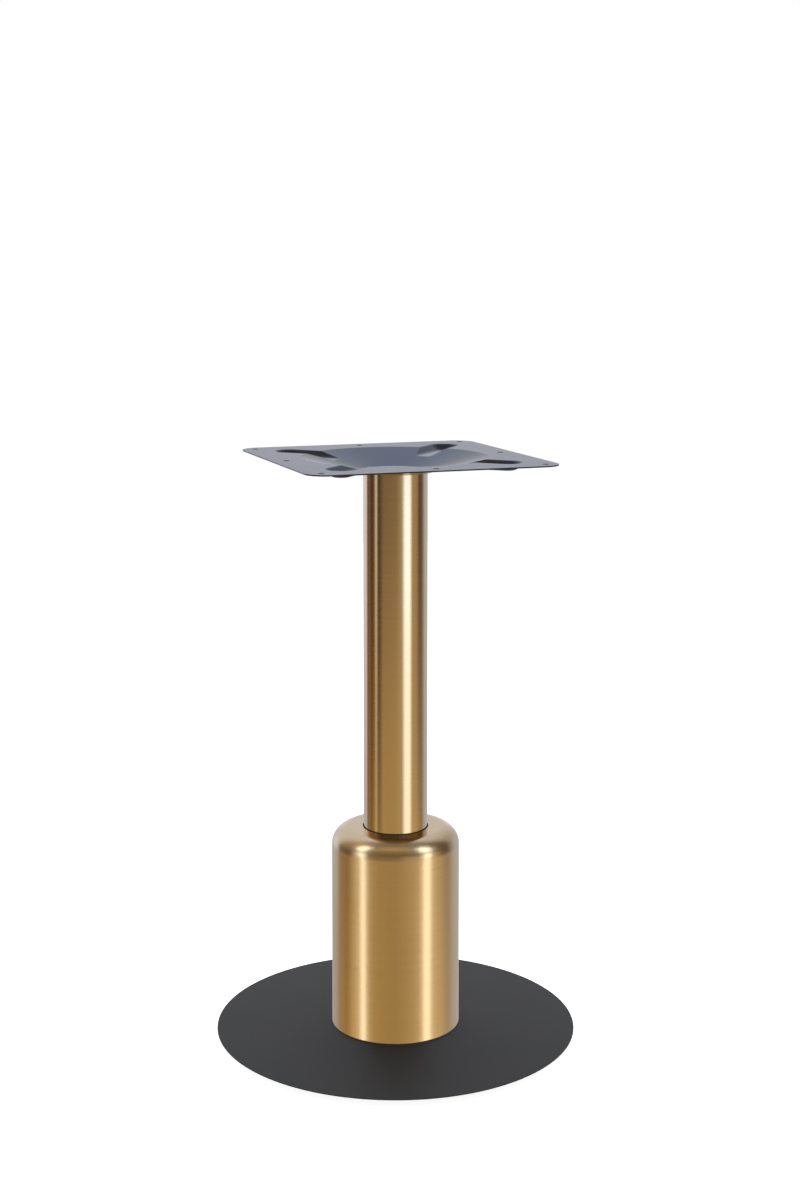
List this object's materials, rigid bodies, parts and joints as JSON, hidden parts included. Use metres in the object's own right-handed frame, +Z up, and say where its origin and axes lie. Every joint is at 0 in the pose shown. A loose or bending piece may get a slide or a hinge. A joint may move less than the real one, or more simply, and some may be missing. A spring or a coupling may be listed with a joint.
{
  "type": "table base",
  "caption": "Pedestal table base: flat round steel foot, brass-look column rising from a wide round-shouldered sleeve, and a square pressed top plate that screws to a tabletop.",
  "frame": {"origin": "on the floor, on the column's axis", "axes": "+Z up along the column; the top plate's sides lie along X and Y"},
  "size_m": [0.4499, 0.45, 0.732],
  "materials": {
    "foot_coat": "matt black powder coat on steel",
    "plate_coat": "semi-gloss black coat on pressed steel",
    "column_brass": "bright brushed brass-tone coating on stainless tube",
    "sleeve_brass": "satin brushed brass-tone coating on spun stainless",
    "grommet_rubber": "matt black rubber",
    "locator_plastic": "matt black moulded plastic",
    "glide_nylon": "matt black nylon",
    "inner_steel": "bare turned steel",
    "screw_zinc": "bright zinc plate",
    "screw_black": "black oxide"
  },
  "bodies": {
    "root": {"base_plate": "foot_coat", "glide_1": "glide_nylon", "glide_2": "glide_nylon", "glide_3": "glide_nylon", "glide_4": "glide_nylon", "glide_5": "glide_nylon", "glide_6": "glide_nylon", "base_screws": "screw_zinc", "column_foot": "inner_steel", "column_tube": "column_brass", "column_head": "inner_steel", "sleeve": "sleeve_brass", "neck_grommet": "grommet_rubber", "locating_ring": "locator_plastic", "top_plate": "plate_coat", "plate_screws": "screw_black"}
  },
  "joints": []
}
